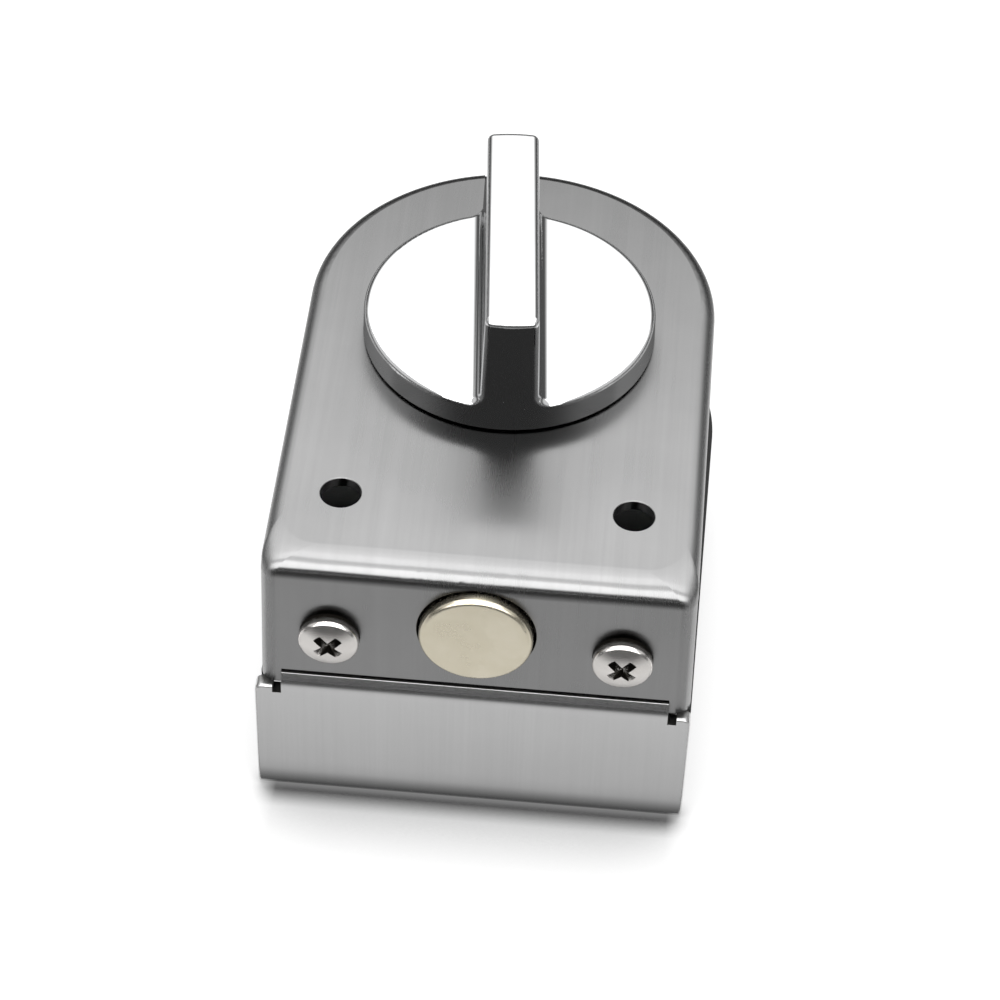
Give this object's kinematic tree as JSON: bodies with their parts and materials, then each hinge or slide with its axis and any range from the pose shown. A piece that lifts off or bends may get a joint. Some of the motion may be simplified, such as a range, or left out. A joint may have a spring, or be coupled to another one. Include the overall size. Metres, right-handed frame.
{
  "type": "glass door floor bolt",
  "caption": "No-drill bolt lock for a glass door: brushed stainless case clamped over the glass edge, chrome thumb turn that throws a round bolt out of the end.",
  "frame": {"origin": "outer face of the back plate, straight under the thumb turn's axis; the lock lies on its back", "axes": "+Z along the turn's axis, out of the case's face; -Y along the bolt, the way it is thrown; +X across the case"},
  "size_m": [0.0449, 0.0647, 0.0482],
  "materials": {
    "case_steel": "brushed stainless",
    "plate_steel": "brushed stainless",
    "zinc": "raw die casting",
    "cover_steel": "zinc plated",
    "screw_steel": "nickel plated",
    "black_steel": "black oxide",
    "turn_chrome": "polished chrome",
    "steel": "machined",
    "spring_steel": "spring steel",
    "nylon": "natural nylon",
    "brass": "machined",
    "bolt_nickel": "nickel plated",
    "rubber": "matt"
  },
  "bodies": {
    "base": {"front_case": "case_steel", "back_plate": "plate_steel", "lock_body": "zinc", "body_cover": "cover_steel", "cover_screws": "screw_steel", "end_screws": "screw_steel", "spindle_bush": "brass", "back_pad": "rubber"},
    "turn": {"thumb_turn": "turn_chrome", "turn_spindle": "steel", "turn_washer": "nylon", "disc_spring": "spring_steel", "drive_crank": "steel", "crank_pin": "steel", "crank_clip": "spring_steel"},
    "bolt_unit": {"bolt": "bolt_nickel", "bolt_yoke": "cover_steel", "yoke_screws": "screw_steel"},
    "clamp": {"clamp_screws": "black_steel", "pressure_plate": "cover_steel", "guide_pins": "steel", "front_pad": "rubber"}
  },
  "joints": [
    {"name": "turn_spin", "type": "hinge", "parent": "base", "child": "turn", "pos_m": [0, 0, 0.0335], "axis": [0, 0, 1], "range_deg": [-4.6, 85.4]},
    {"name": "bolt_slide", "type": "slide", "parent": "base", "child": "bolt_unit", "axis": [0, -1, 0], "range_m": [-0.00061, 0.01139]},
    {"name": "clamp_slide", "type": "slide", "parent": "base", "child": "clamp", "axis": [0, 0, -1], "range_m": [0, 0.004]}
  ],
  "couplings": [
    {"joint": "turn_spin", "follows": "bolt_slide", "rad_per_m": 130.9}
  ]
}
